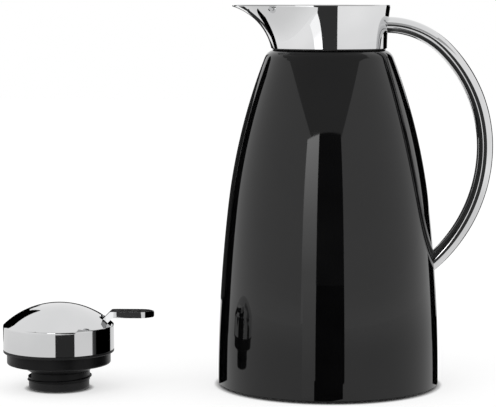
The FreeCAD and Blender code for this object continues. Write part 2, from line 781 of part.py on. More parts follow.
def lever_profile():
    """Side view: a flat thumb plate, a slant through the cap, a hub and an arm to the stem."""
    top = LEVER_Z + LEVER_T
    bend_top_x = LEVER_BEND_X - LEVER_T * math.tan(math.radians(22.5))
    hub_x = PIVOT_X + LEVER_HUB_R
    hub_z = PIVOT_Z - LEVER_HUB_R
    crown_end_z = CROWN_Z - CROWN_R + math.sqrt(CROWN_R ** 2 - ARM_OVERRUN ** 2)
    arm_z = crown_end_z - LEVER_ARM_T
    slant_foot_x = bend_top_x - (top - crown_end_z)
    hub_in_x = PIVOT_X - 1.5 * LEVER_HUB_R
    edges = rounded([
        (-ARM_OVERRUN, crown_end_z),
        (-ARM_OVERRUN, arm_z, LEVER_ARM_T / 3),
        (hub_in_x - (arm_z - hub_z), arm_z),
        (hub_in_x, hub_z),
        (hub_x, hub_z, LEVER_HUB_R - RUN_CLEAR),
        (hub_x, LEVER_Z - (LEVER_BEND_X - hub_x), LEVER_BEND_R),
        (LEVER_BEND_X, LEVER_Z, LEVER_BEND_R),
        (LEVER_TIP_X, LEVER_Z, LEVER_EDGE_R),
        (LEVER_TIP_X, top, LEVER_EDGE_R),
        (bend_top_x, top, LEVER_BEND_R),
        (slant_foot_x, crown_end_z, LEVER_BEND_R),
        (ARM_OVERRUN, crown_end_z),
    ])
    crown = arc(at(ARM_OVERRUN, crown_end_z), at(0, CROWN_Z), at(-ARM_OVERRUN, crown_end_z))
    return edges[:-1] + [crown]


def lever_plan(low, tall):
    """Top view: straight sides that turn in to a blunt nose."""
    half = LEVER_W / 2
    nose = LEVER_NOSE_W / 2
    back_x = -2 * ARM_OVERRUN
    turn_x = LEVER_TIP_X - (half - nose) / math.tan(math.radians(LEVER_TIP_TURN))
    outline = rounded([
        (back_x, -half),
        (turn_x, -half, LEVER_TIP_R),
        (LEVER_TIP_X, -nose, LEVER_NOSE_R),
        (LEVER_TIP_X, nose, LEVER_NOSE_R),
        (turn_x, half, LEVER_TIP_R),
        (back_x, half),
    ])
    plan = face_of(outline).extrude(ACROSS * tall)
    plan.rotate(V(0, 0, 0), OUTWARD, 90)
    plan.translate(UP * low)
    return plan


def thumb_lever():
    half = LEVER_W / 2
    blank = face_of(lever_profile()).extrude(ACROSS * LEVER_W)
    blank.translate(ACROSS * -half)
    low = PIVOT_Z - 2 * LEVER_HUB_R
    tall = LEVER_Z + 2 * LEVER_T - low
    plan = lever_plan(low, tall)
    fork_half = STEM_R + 2 * LOOSE_CLEAR
    fork = Part.makeBox(3 * ARM_OVERRUN, 2 * fork_half, tall, V(-2 * ARM_OVERRUN, -fork_half, low))
    return blank.common(plan).cut(fork).cut(pin_rod(PIN_R + RUN_CLEAR, 2 * LEVER_W))


# Valve
def valve_stem():
    foot_z = VALVE_SEAL_Z - STEM_FOOT_T
    top = STEM_NUT_Z + STEM_NUT_T + STEM_PROUD
    return turned(rounded([
        (0, foot_z),
        (STEM_FOOT_R, foot_z, STEM_FOOT_T / 3),
        (STEM_FOOT_R, VALVE_SEAL_Z),
        (STEM_R, VALVE_SEAL_Z),
        (STEM_R, top, STEM_PROUD),
        (0, top),
    ]))


def stem_nut():
    return ring(STEM_NUT_R, STEM_R + RUN_CLEAR, STEM_NUT_Z, STEM_NUT_Z + STEM_NUT_T)


def valve_seal():
    return ring(VALVE_SEAL_R, STEM_R + RUN_CLEAR, VALVE_SEAL_Z, DISC_Z)


def valve_disc():
    top = DISC_Z + DISC_T
    rim_r = VALVE_SEAL_R - DISC_INSET
    bore = STEM_R + RUN_CLEAR
    return turned(rounded([
        (bore, DISC_Z),
        (rim_r, DISC_Z),
        (rim_r, top, DISC_T / 3),
        (DISC_HUB_R, top),
        (DISC_HUB_R, top + DISC_HUB_H),
        (bore, top + DISC_HUB_H),
    ]))


# Coil spring: quarter turns, each a pair of tangent arcs in space
def biarc(start, start_way, end, end_way):
    """Two arcs of equal reach that join two points with the given unit directions."""
    gap = end - start
    ways = start_way + end_way
    a = 2 * (1 - start_way.dot(end_way))
    b = gap.dot(ways)
    reach = (math.sqrt(b * b + a * gap.dot(gap)) - b) / a
    joint = (start + start_way * reach + end - end_way * reach) * 0.5

    def bow(point, way, other):
        """Middle of the arc that leaves point along way and ends at other."""
        chord = other - point
        along = way.dot(chord)
        half_turn = math.acos(along / chord.Length)
        side = (way * chord.Length - chord * (along / chord.Length)).normalize()
        return point + chord * 0.5 + side * (chord.Length / 2 * math.tan(half_turn / 2))

    return [
        arc(start, bow(start, start_way, joint), joint),
        arc(joint, bow(end, end_way * -1, joint), end),
    ]


def spring_point(turns):
    low = DISC_Z + DISC_T + SPRING_WIRE / 2 + RUN_CLEAR
    high = PLUG_LEN - SPRING_WIRE / 2 - RUN_CLEAR
    angle = 2 * math.pi * turns
    height = low + (high - low) * turns / SPRING_TURNS
    return V(SPRING_R * math.cos(angle), SPRING_R * math.sin(angle), height)


def spring_way(turns):
    step = 1e-4
    return (spring_point(turns + step) - spring_point(turns - step)).normalize()


def valve_spring():
    edges = []
    for quarter in range(4 * SPRING_TURNS):
        start = quarter / 4
        end = start + 0.25
        edges += biarc(spring_point(start), spring_way(start), spring_point(end), spring_way(end))
    wire = Part.Circle(spring_point(0), spring_way(0), SPRING_WIRE / 2)
    coil = Part.Wire(edges).makePipeShell([Part.Wire(wire.toShape())], True, False)
    pitch_gap = spring_point(1).z - spring_point(0).z - SPRING_WIRE
    print("valve_spring least gap between turns", round(pitch_gap, 3))
    return coil


CARAFE = [
    outer_shell,
    base_cover,
    base_insert_ring,
    anti_slip_ring,
    collar,
    collar_gasket,
    neck_ring,
    neck_nut,
    glass_liner,
    liner_support,
    liner_mouth_seal,
    handle,
    handle_washer,
    handle_screw,
]

STOPPER = [
    neck_seal,
    stopper_body,
    collar_lip_seal,
    cap_shell,
    lever_bracket,
    bracket_screws,
    lever_pin,
    thumb_lever,
    valve_stem,
    stem_nut,
    valve_seal,
    valve_disc,
    valve_spring,
]


def main():
    os.makedirs("parts", exist_ok=True)
    for piece in CARAFE:
        piece().exportStep("parts/" + piece.__name__ + ".step")
    for piece in STOPPER:
        shape = piece()
        shape.translate(V(STOPPER_X, STOPPER_Y, 0))
        shape.exportStep("parts/" + piece.__name__ + ".step")


main()
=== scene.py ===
import json
import math

import bmesh
import bpy
from mathutils import Matrix, Vector


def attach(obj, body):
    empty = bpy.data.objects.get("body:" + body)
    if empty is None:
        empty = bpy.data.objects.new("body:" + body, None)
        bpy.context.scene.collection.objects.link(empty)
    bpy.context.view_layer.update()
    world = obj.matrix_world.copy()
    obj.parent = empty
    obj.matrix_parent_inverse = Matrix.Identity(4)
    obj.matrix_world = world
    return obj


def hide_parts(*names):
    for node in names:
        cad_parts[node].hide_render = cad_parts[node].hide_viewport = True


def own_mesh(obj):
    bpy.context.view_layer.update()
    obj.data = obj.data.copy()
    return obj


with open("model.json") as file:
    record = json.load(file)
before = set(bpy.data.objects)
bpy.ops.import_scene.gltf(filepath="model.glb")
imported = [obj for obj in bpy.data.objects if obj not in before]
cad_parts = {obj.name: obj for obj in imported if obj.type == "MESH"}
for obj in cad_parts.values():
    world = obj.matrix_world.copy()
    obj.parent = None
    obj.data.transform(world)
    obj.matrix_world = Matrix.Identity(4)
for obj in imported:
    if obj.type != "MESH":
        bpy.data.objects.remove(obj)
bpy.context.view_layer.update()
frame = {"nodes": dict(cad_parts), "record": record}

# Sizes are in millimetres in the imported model's frame, and meshes are scaled to metres
MM = 0.001

# Shell: two tangent arcs and a rounded top edge
BASE_R = 72.7
FOOT_Z = 1.8
LOW_R = 1056.25
BELLY_Z = 117.0
TOP_R = 40.0
TOP_Z = 221.0
TOP_EDGE_R = 8.0
SHELL_WALL = 1.0
SHELL_MOUTH_R = 31.0
FOOT_LIP_R = 68.0

# Collar: round below, drawn out to a pouring lip above
COLLAR_Z = 221.8
RIM_Z = 250.0
RIM_BAND = 1.0
RIM_EDGE_R = 0.35
COLLAR_R = 37.8
COLLAR_FLARE = 2.2
COLLAR_WALL = 1.2
COLLAR_HOLE_R = 30.5
SPOUT_REACH = 63.4
SPOUT_LEAN = 13.0

# Handle: an oval bar along three tangent arcs, with turns in degrees
HANDLE_T = 10.5
HANDLE_W = 17.0
GRIP_R = 91.0
GRIP_C = (11.3, 157.0)
LOW_GRIP_R = 101.0
CREST_TURN = 45.0
HANDLE_FOOT_TURN = -52.0
HANDLE_ROOT_X = 37.4

# Stopper's cap, about the stopper's own axis
STOPPER = (-176.2, -23.0)
CAP_R = 36.2
CAP_FOOT_Z = 26.1
CAP_EDGE_R = 1.0
CAP_WALL = 1.2
CAP_TOP_Z = 56.2
DOME_H = 14.5
DOME_R = (CAP_R ** 2 + DOME_H ** 2) / (2 * DOME_H)
SLOT_X = (27.63, 35.0)
SLOT_HALF = 8.0
SLOT_FOOT_Z = 40.5
SLOT_CORNER_R = 1.0

# Thumb lever: plate, slant, hub on the pin and forked arm, with turns in degrees
LEVER_HALF = 7.3
LEVER_Z = 47.2
LEVER_T = 4.0
LEVER_TIP_X = 62.8
LEVER_BEND_X = 36.2
LEVER_EDGE_R = 1.0
LEVER_BEND_R = 2.0
LEVER_NOSE_HALF = 0.8
LEVER_NOSE_R = 2.0
LEVER_TURN_R = 6.8
LEVER_TURN = 50.0
LEVER_BEVEL = 0.6
SLANT = 45.0
SLANT_DRAFT = 7.0
SLANT_CREASE = 2.0
PIVOT = (27.431, 38.2)
PIN_HOLE_R = 1.3
HUB_R = 4.0
HUB_BACK = 6.0
HUB_EDGE_R = 3.9
ARM_END_X = -6.0
ARM_T = 2.1
ARM_TOP_Z = 39.2
ARM_EDGE_R = 0.6
ARM_BEND_R = 2.0
FORK_ROOT_X = 6.0
FORK_HALF = 3.1

# Valve spring: a coil between the valve disc and the seat above it
SPRING_R = 7.0
SPRING_WIRE_R = 0.8
SPRING_TURNS = 4
SPRING_Z = (6.84, 16.46)

# Threads: ridges on the plug and in the neck, with their first and last turn in degrees
THREAD_PITCH = 3.6
THREAD_HALF = 0.65
THREAD_CREST_HALF = THREAD_HALF / 3
THREAD_ROOT = 0.3
THREAD_FADE_SHARE = 0.125
PLUG_R = 20.2
PLUG_THREAD_RISE = 1.2
PLUG_THREAD_Z = 6.15
PLUG_THREAD_TURNS = (180, 420)
NECK_BORE_R = 21.7
NECK_THREAD_RISE = 0.9
NECK_THREAD_Z = 212.2
NECK_THREAD_TURNS = (0, 400)

# How finely forms are cut: steps along arcs, and the longest step along straight runs
CIRCLE = 240
CORNER_STEPS = 6
SHELL_LOW_STEPS = 48
SHELL_HIGH_STEPS = 56
SHELL_EDGE_STEPS = 10
COLLAR_LEVELS = 40
RIM_STEPS = 4
BAR_STEPS = 36
BAR_SIDES = 72
CAP_EDGE_STEPS = 8
DOME_STEPS = 48
PIN_SIDES = 32
COIL_STEPS = 48
WIRE_SIDES = 12
THREAD_STEPS = 160
RUN_STEP = 1.5
FINE_STEP = 1.0
LEVER_STEP = 4.0
WELD = 1e-5

# Edges that turn by more degrees than this are shaded hard or bevelled
HARD_EDGE = 35
THREAD_HARD_EDGE = 60
BEVEL_STEPS = 3

# Values of the noise at which a finish is darkest and lightest
NOISE_SPAN = (0.3, 0.7)

# Camera, from the photograph's perspective, with its tilt and turn in degrees
CAMERA = (0, -1328.64, 250.0)
CAMERA_LENS = 146.95
CAMERA_SENSOR = 36.0
CAMERA_TILT = 5.605
CAMERA_TURN = 2.286

# Backdrop and floor, and the shade close to what stands on it
WHITE = (1, 1, 1, 1)
FLOOR_COLOUR = (0.5, 0.5, 0.5, 1)
FLOOR_Z = -0.2
CONTACT_REACH = 4.0
CONTACT_POWER = 3.0
NEAR_FLOOR_Z = -0.1
NEAR_FLOOR_SIDES = 48

# Brightness of the studio's cards, where white is 1
BLACK = 0.0
NEAR_BLACK = 0.03
DARK = 0.04
DARK_GREY = 0.05
GREY = 0.45
FRONT_GLOW = 4.2
FRONT_FOOT_GLOW = 1.35
FOOT_GLOW = 1.35
FOOT_LOW_GLOW = 0.9

# Share of a fading card's height that stays at its foot's brightness
FADE_START = 0.2

# Cards in front: ends on the floor, and heights of foot and top
FRONT_CORNER = (-167, -774)
FRONT_BLACK_END = (101, -369)
FRONT_BLACK_END_TOP = 315
FRONT_BRIGHT_END = (-400, -774)
FRONT_Z = (0, 500)
FOOT_CORNER = (-14.3, -100)
FOOT_BLACK_END = (34.5, -150)
FOOT_BRIGHT_END = (-23.6, -85)
FOOT_CARD_Z = (0, 75)
FOOT_LOW_ENDS = ((14, -88), (-9.5, -76))
FOOT_LOW_Z = (0, 14)

# Cards overhead: a trapezoid that widens to the back, with a bay, and a small one at the collar
OVERHEAD_Z = 700
OVERHEAD_FRONT_X = (-500, 371)
OVERHEAD_BACK_X = (-870, 741)
OVERHEAD_Y = (-1230, -46)
BAY_X = (-500, 450)
BAY_Y = -300
SHOULDER_Z = 252
SHOULDER_OUTLINE = (
    (-85, -78),
    (-85, -20),
    (-52, 0),
    (-25, -36),
    (20, -36),
    (37, -20),
    (61, -30),
    (61, -78),
)

# Cards behind and on both sides
FLAG_Y = 400
FLAG_Z = (0, 400)
LOW_FLAG_Y = -5.3
SHELL_EDGE = (66, -20)
FLAG_FLOOR_SHARE = 0.4
FLOOR_CARD_Z = 0.3
BACK_Y = 1000
BACK_X = (-430, 450)
BACK_Z = (40, 220)
BACK_LEFT_X = (-760, BACK_X[0])
BACK_LEFT_Z = (40, 330)
BACK_LOW_ENDS = ((-110, 400), (-350, 400))
BACK_LOW_Z = (0, 90)
BACK_FLOOR_X = (-20, 160)
BACK_FLOOR_Y = (260, BACK_Y)

# Cards that stopper and handle mirror
CAP_WINDOW = ((-123, -102), (-139.3, -134), (-172.4, -199))
CAP_WINDOW_TOPS = (31.9, 28.6, 19.2)
LEVER_WINDOW_ENDS = ((-112, -109.4), (-152.5, -142.3))
LEVER_WINDOW_Z = (31, 42)
CARAFE_SHADE_ENDS = ((-100, 23), (-100, -46))
CARAFE_SHADE_Z = (0, 60)
DOME_SHADE_ENDS = ((-303, 225), (-197, 55))
DOME_SHADE_Z = (0, 187)
DOME_SHADE_END_TOP = 20
HANDLE_FRONT_ENDS = ((441, -558), (58.8, -48.9))
HANDLE_FRONT_Z = (0, 245)
HANDLE_SHADE_ENDS = ((-155, 250), (-293, 1449))
HANDLE_SHADE_Z = (60, 300)


# Outlines
def spread(first, last, count):
    """Evenly spaced values from first to last, both included."""
    return [first + (last - first) * i / count for i in range(count + 1)]


def line(start, end, step=RUN_STEP):
    """Points from start towards end, without end."""
    count = max(1, math.ceil(math.dist(start, end) / step))
    return [tuple(s + (e - s) * i / count for s, e in zip(start, end)) for i in range(count)]


def arc(centre, radius, first, last, count):
    """Points on an arc from one angle to another, both ends included."""
    turns = [math.radians(turn) for turn in spread(first, last, count)]
    return [(centre[0] + radius * math.cos(t), centre[1] + radius * math.sin(t)) for t in turns]


def corner_arc(before, corner, after, radius):
    """Points of the arc that rounds one corner."""
    point = Vector(corner)
    back = (Vector(before) - point).normalized()
    ahead = (Vector(after) - point).normalized()
    half = back.angle(ahead) / 2
    centre = point + (back + ahead).normalized() * radius / math.sin(half)
    start = point + back * radius / math.tan(half) - centre
    turn = start.angle_signed(point + ahead * radius / math.tan(half) - centre)
    return [tuple(centre + Matrix.Rotation(-part, 2) @ start) for part in spread(0, turn, CORNER_STEPS)]


def rounded(corners, step=RUN_STEP):
    """Closed outline through corners, each rounded by its third number where it has one."""
    runs = []
    for i, corner in enumerate(corners):
        before = corners[i - 1]
        after = corners[(i + 1) % len(corners)]
        if len(corner) == 3:
            runs.append(corner_arc(before[:2], corner[:2], after[:2], corner[2]))
        else:
            runs.append([corner])
    points = []
    for run, following in zip(runs, runs[1:] + runs[:1]):
        points += run[:-1] + line(run[-1], following[0], step)
    return points


# Meshes
def circle(radius, z, count=CIRCLE):
    """Points of a level circle about the Z axis."""
    turns = [2 * math.pi * i / count for i in range(count)]
    return [(radius * math.cos(t), radius * math.sin(t), z) for t in turns]


def loft(rings, loop=True):
    """Mesh through rings of equally many points, closed to a loop or capped at both ends."""
    mesh = bmesh.new()
    rows = [[mesh.verts.new(p) for p in ring] for ring in rings]
    pairs = list(zip(rows, rows[1:]))
    if loop:
        pairs.append((rows[-1], rows[0]))
    for row, above in pairs:
        for i in range(len(row)):
            mesh.faces.new((row[i - 1], row[i], above[i], above[i - 1]))
    if not loop:
        mesh.faces.new(rows[0])
        mesh.faces.new(rows[-1])
    bmesh.ops.remove_doubles(mesh, verts=mesh.verts, dist=WELD)
    bmesh.ops.recalc_face_normals(mesh, faces=mesh.faces)
    return mesh


def lathe(profile):
    """Solid of revolution of a closed profile about the Z axis."""
    return loft([circle(radius, z) for radius, z in profile])


def side_on(point, y):
    """Place of a side view's point at a depth across."""
    return (point[0], y, point[1])


def from_above(point, z):
    """Place of a top view's point at a height."""
    return (point[0], point[1], z)


def prism(outline, place, depth):
    """Solid over a closed outline: place turns an outline point and a depth into a point in space."""
    return loft([[place(p, d) for p in outline] for d in depth], loop=False)


def carve(target, tool, operation):
    """Boolean of two meshes, as a new mesh."""
    objects = []
    for shape in (target, tool):
        data = bpy.data.meshes.new("carving")
        shape.to_mesh(data)
        objects.append(bpy.data.objects.new("carving", data))
        bpy.context.scene.collection.objects.link(objects[-1])
    modifier = objects[0].modifiers.new("carve", "BOOLEAN")
    modifier.operation = operation
    modifier.solver = "EXACT"
    modifier.object = objects[1]
    bpy.context.view_layer.update()
    result = bmesh.new()
    result.from_object(objects[0], bpy.context.evaluated_depsgraph_get())
    for used in objects:
        data = used.data
        bpy.data.objects.remove(used)
        bpy.data.meshes.remove(data)
    return result


# Material nodes
def new_material(name):
    made = bpy.data.materials.new(name)
    made.use_nodes = True
    return made, made.node_tree, made.node_tree.nodes["Principled BSDF"]


def noise(tree, scale, detail=3.0, stretch=(1, 1, 1)):
    """Noise over the object's own coordinates, with its scale per metre."""
    coords = tree.nodes.new("ShaderNodeTexCoord")
    mapping = tree.nodes.new("ShaderNodeMapping")
    mapping.inputs["Scale"].default_value = stretch
    texture = tree.nodes.new("ShaderNodeTexNoise")
    texture.inputs["Scale"].default_value = scale
    texture.inputs["Detail"].default_value = detail
    tree.links.new(coords.outputs["Object"], mapping.inputs["Vector"])
    tree.links.new(mapping.outputs["Vector"], texture.inputs["Vector"])
    return texture.outputs["Fac"]


def vary_colour(tree, shader, source, dark, light):
    ramp = tree.nodes.new("ShaderNodeValToRGB")
    for stop, position, colour in zip(ramp.color_ramp.elements, NOISE_SPAN, (dark, light)):
        stop.position = position
        stop.color = (*colour, 1)
    tree.links.new(source, ramp.inputs["Fac"])
    tree.links.new(ramp.outputs["Color"], shader.inputs["Base Color"])


def map_range(tree, source, span, result):
    """Node that carries a value from one span of numbers to another."""
    made = tree.nodes.new("ShaderNodeMapRange")
    for label, number in zip(("From Min", "From Max", "To Min", "To Max"), (*span, *result)):
        made.inputs[label].default_value = number
    tree.links.new(source, made.inputs["Value"])
    return made


def vary_roughness(tree, shader, source, low, high):
    varied = map_range(tree, source, NOISE_SPAN, (low, high))
    tree.links.new(varied.outputs["Result"], shader.inputs["Roughness"])


def add_bump(tree, shader, source, strength, distance):
    bump = tree.nodes.new("ShaderNodeBump")
    bump.inputs["Strength"].default_value = strength
    bump.inputs["Distance"].default_value = distance * MM
    tree.links.new(source, bump.inputs["Height"])
    tree.links.new(bump.outputs["Normal"], shader.inputs["Normal"])


# Finishes
def black_lacquer():
    made, tree, shader = new_material("black_lacquer")
    patches = noise(tree, scale=40)
    vary_colour(tree, shader, patches, dark=(0.0022, 0.0022, 0.0024), light=(0.0036, 0.0036, 0.0038))
    vary_roughness(tree, shader, noise(tree, scale=90), low=0.02, high=0.05)
    shader.inputs["IOR"].default_value = 1.45
    return made


def chrome():
    made, tree, shader = new_material("chrome")
    shader.inputs["Metallic"].default_value = 1.0
    patches = noise(tree, scale=30)
    vary_colour(tree, shader, patches, dark=(0.65, 0.655, 0.66), light=(0.69, 0.69, 0.695))
    vary_roughness(tree, shader, noise(tree, scale=120), low=0.015, high=0.045)
    return made


def satin_plastic():
    made, tree, shader = new_material("black_plastic")
    patches = noise(tree, scale=60)
    vary_colour(tree, shader, patches, dark=(0.005, 0.005, 0.0054), light=(0.009, 0.009, 0.0094))
    vary_roughness(tree, shader, noise(tree, scale=200), low=0.26, high=0.36)
    shader.inputs["Specular IOR Level"].default_value = 0.12
    add_bump(tree, shader, noise(tree, scale=2600), strength=0.12, distance=0.1)
    return made


def rubber():
    made, tree, shader = new_material("rubber")
    patches = noise(tree, scale=80)
    vary_colour(tree, shader, patches, dark=(0.011, 0.011, 0.011), light=(0.019, 0.019, 0.018))
    vary_roughness(tree, shader, noise(tree, scale=150), low=0.62, high=0.78)
    add_bump(tree, shader, noise(tree, scale=1500), strength=0.25, distance=0.2)
    return made


def silicone():
    made, tree, shader = new_material("silicone")
    patches = noise(tree, scale=70)
    vary_colour(tree, shader, patches, dark=(0.009, 0.009, 0.0095), light=(0.014, 0.014, 0.0145))
    vary_roughness(tree, shader, noise(tree, scale=160), low=0.38, high=0.5)
    shader.inputs["Specular IOR Level"].default_value = 0.2
    add_bump(tree, shader, noise(tree, scale=900), strength=0.1, distance=0.1)
    return made


def silvered_glass():
    made, tree, shader = new_material("silvered_glass")
    shader.inputs["Metallic"].default_value = 1.0
    shader.inputs["Coat Weight"].default_value = 1.0
    shader.inputs["Coat Roughness"].default_value = 0.02
    patches = noise(tree, scale=25)
    vary_colour(tree, shader, patches, dark=(0.80, 0.81, 0.80), light=(0.88, 0.885, 0.88))
    vary_roughness(tree, shader, noise(tree, scale=35), low=0.02, high=0.07)
    return made


def steel():
    made, tree, shader = new_material("steel")
    shader.inputs["Metallic"].default_value = 1.0
    grain = noise(tree, scale=400, detail=2.0, stretch=(1, 1, 8))
    vary_colour(tree, shader, grain, dark=(0.50, 0.50, 0.505), light=(0.62, 0.62, 0.625))
    vary_roughness(tree, shader, grain, low=0.18, high=0.32)
    return made


FINISH = {
    "black_lacquer": black_lacquer(),
    "chrome": chrome(),
    "black_plastic": satin_plastic(),
    "rubber": rubber(),
    "silicone": silicone(),
    "silvered_glass": silvered_glass(),
    "steel": steel(),
}


def dress_nodes():
    """Each node of the model takes the finish of its slot."""
    for part in frame["record"]["subparts"]:
        data = frame["nodes"][part["node"]].data
        data.materials.clear()
        data.materials.append(FINISH[part["material_slot"]])


# Pieces
def soften(target, width):
    """Small rounding on the hard edges."""
    edge = target.modifiers.new("edge", "BEVEL")
    edge.width = width * MM
    edge.segments = BEVEL_STEPS
    edge.limit_method = "ANGLE"
    edge.angle_limit = math.radians(HARD_EDGE)
    edge.harden_normals = True


def piece(name, shape, body, slot, node=None, place=(0, 0), hard_edge=HARD_EDGE, bevel=0):
    """Named object from a mesh in millimetres, with its slot's finish, riding on its body."""
    data = bpy.data.meshes.new(name)
    shape.to_mesh(data)
    data.transform(Matrix.Scale(MM, 4) @ Matrix.Translation((place[0], place[1], 0)))
    data.shade_smooth()
    data.set_sharp_from_angle(angle=math.radians(hard_edge))
    data.materials.append(FINISH[slot])
    made = bpy.data.objects.new(name, data)
    bpy.context.scene.collection.objects.link(made)
    if bevel:
        soften(made, bevel)
    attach(made, body)
    if node:
        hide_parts(node)
    return made


# Carafe
def shell_side(inset):
    """Outline of the shell's side from the foot to the top, moved in by inset."""
    low_c = (BASE_R - LOW_R, 0)
    belly_turn = math.asin(BELLY_Z / LOW_R)
    belly = Vector((low_c[0] + LOW_R * math.cos(belly_turn), BELLY_Z))
    out = Vector((math.cos(belly_turn), math.sin(belly_turn)))
    rise = Vector((TOP_R, TOP_Z)) - belly
    high_r = -rise.length_squared / (2 * rise.dot(out))
    high_c = belly - out * high_r
    edge_z = TOP_Z - TOP_EDGE_R
    edge_turn = math.asin((edge_z - high_c.y) / (high_r - TOP_EDGE_R))
    edge_x = high_c.x + (high_r - TOP_EDGE_R) * math.cos(edge_turn)
    foot_deg = math.degrees(math.asin((FOOT_Z + inset) / LOW_R))
    belly_deg = math.degrees(belly_turn)
    edge_deg = math.degrees(edge_turn)
    low = arc(low_c, LOW_R - inset, foot_deg, belly_deg, SHELL_LOW_STEPS)
    high = arc(high_c, high_r - inset, belly_deg, edge_deg, SHELL_HIGH_STEPS)
    edge = arc((edge_x, edge_z), TOP_EDGE_R - inset, edge_deg, 90, SHELL_EDGE_STEPS)
    return low + high[1:] + edge[1:]


def outer_shell():
    outside = shell_side(0)
    inside = shell_side(SHELL_WALL)
    top = line(outside[-1], (SHELL_MOUTH_R, TOP_Z))[1:] + [(SHELL_MOUTH_R, TOP_Z)]
    foot = [(FOOT_LIP_R, FOOT_Z + SHELL_WALL), (FOOT_LIP_R, FOOT_Z), (BASE_R - SHELL_WALL, FOOT_Z)]
    profile = outside + top + [(SHELL_MOUTH_R, TOP_Z - SHELL_WALL)] + inside[::-1] + foot
    piece("shell_gloss", lathe(profile), "carafe", "black_lacquer", "outer_shell")


def spout_reach(z, inset):
    """How far the lip stands out at a height: an arc that leaves the collar's foot and leans outward."""
    lean = math.radians(SPOUT_LEAN)
    foot = Vector((COLLAR_R, COLLAR_Z))
    outward = Vector((math.cos(lean), -math.sin(lean)))
    chord = Vector((SPOUT_REACH, RIM_Z - RIM_BAND)) - foot
    bend_r = chord.length_squared / (2 * chord.dot(outward))
    centre = foot + outward * bend_r
    return centre.x - math.sqrt((bend_r + inset) ** 2 - (z - centre.y) ** 2)


def collar_ring(z, inset):
    """Section of the collar: a half circle at the handle and a half ellipse that reaches the lip."""
    level = min(z, RIM_Z - RIM_BAND)
    share = (level - COLLAR_Z) / (RIM_Z - RIM_BAND - COLLAR_Z)
    radius = COLLAR_R + COLLAR_FLARE * share ** 2 - inset
    stretch = spout_reach(level, inset) / radius
    return [(x * stretch if x < 0 else x, y, z) for x, y, _ in circle(radius, z)]


def collar():
    band_z = RIM_Z - RIM_BAND
    edge_z = RIM_Z - RIM_EDGE_R
    floor_z = COLLAR_Z + COLLAR_WALL
    rings = [collar_ring(z, 0) for z in spread(COLLAR_Z, band_z, COLLAR_LEVELS)]
    outer_edge = arc((RIM_EDGE_R, edge_z), RIM_EDGE_R, 180, 90, RIM_STEPS)
    inner_edge = arc((COLLAR_WALL - RIM_EDGE_R, edge_z), RIM_EDGE_R, 90, 0, RIM_STEPS)
    for inset, z in outer_edge + inner_edge:
        rings.append(collar_ring(z, inset))
    for z in spread(band_z, floor_z, COLLAR_LEVELS):
        rings.append(collar_ring(z, COLLAR_WALL))
    foot = collar_ring(COLLAR_Z, 0)
    scale = COLLAR_HOLE_R / COLLAR_R
    for z in (floor_z, COLLAR_Z):
        rings.append([(x * scale, y * scale, z) for x, y, _ in foot])
    piece("spouted_collar", loft(rings), "carafe", "chrome", "collar")


def handle_path():
    """Points of the bar's middle line with the direction across it, in the plane of the handle."""
    crest_r = GRIP_R - (COLLAR_R - GRIP_C[0]) / math.cos(math.radians(CREST_TURN))
    crest_c = (COLLAR_R, GRIP_C[1] + (GRIP_R - crest_r) * math.sin(math.radians(CREST_TURN)))
    low_c = (GRIP_C[0] + GRIP_R - LOW_GRIP_R, GRIP_C[1])
    stations = [((HANDLE_ROOT_X, crest_c[1] + crest_r), 90)]
    for centre, radius, first, last in (
        (crest_c, crest_r, 90, CREST_TURN),
        (GRIP_C, GRIP_R, CREST_TURN, 0),
        (low_c, LOW_GRIP_R, 0, HANDLE_FOOT_TURN),
    ):
        turns = spread(first, last, BAR_STEPS)
        stations += zip(arc(centre, radius, first, last, BAR_STEPS), turns)
    return stations


def handle():
    rings = []
    for (x, z), turn in handle_path():
        out = (math.cos(math.radians(turn)), math.sin(math.radians(turn)))
        ring = []
        for across, y in arc((0, 0), 1, 0, 360, BAR_SIDES)[:-1]:
            shift = across * HANDLE_T / 2
            ring.append((x + shift * out[0], y * HANDLE_W / 2, z + shift * out[1]))
        rings.append(ring)
    piece("bow_handle", loft(rings, loop=False), "carafe", "chrome", "handle")


# Threads
def ridge(radius, rise, foot_z, turns):
    """Helical thread ridge that fades at its ends. A negative rise points it inward."""
    first, last = turns
    rings = []
    for i in range(THREAD_STEPS + 1):
        share = i / THREAD_STEPS
        turn = math.radians(first + (last - first) * share)
        fade = min(1, share / THREAD_FADE_SHARE, (1 - share) / THREAD_FADE_SHARE)
        middle = foot_z + THREAD_PITCH * (last - first) / 360 * share
        crest = radius + rise * fade
        root = radius - math.copysign(THREAD_ROOT, rise)
        section = [
            (root, middle - THREAD_HALF),
            (crest, middle - THREAD_CREST_HALF),
            (crest, middle + THREAD_CREST_HALF),
            (root, middle + THREAD_HALF),
        ]
        rings.append([(r * math.cos(turn), r * math.sin(turn), z) for r, z in section])
    return loft(rings, loop=False)


def threads():
    plug = ridge(PLUG_R, PLUG_THREAD_RISE, PLUG_THREAD_Z, PLUG_THREAD_TURNS)
    neck = ridge(NECK_BORE_R, -NECK_THREAD_RISE, NECK_THREAD_Z, NECK_THREAD_TURNS)
    piece("plug_thread", plug, "stopper", "black_plastic", place=STOPPER, hard_edge=THREAD_HARD_EDGE)
    piece("neck_thread", neck, "carafe", "black_plastic", hard_edge=THREAD_HARD_EDGE)


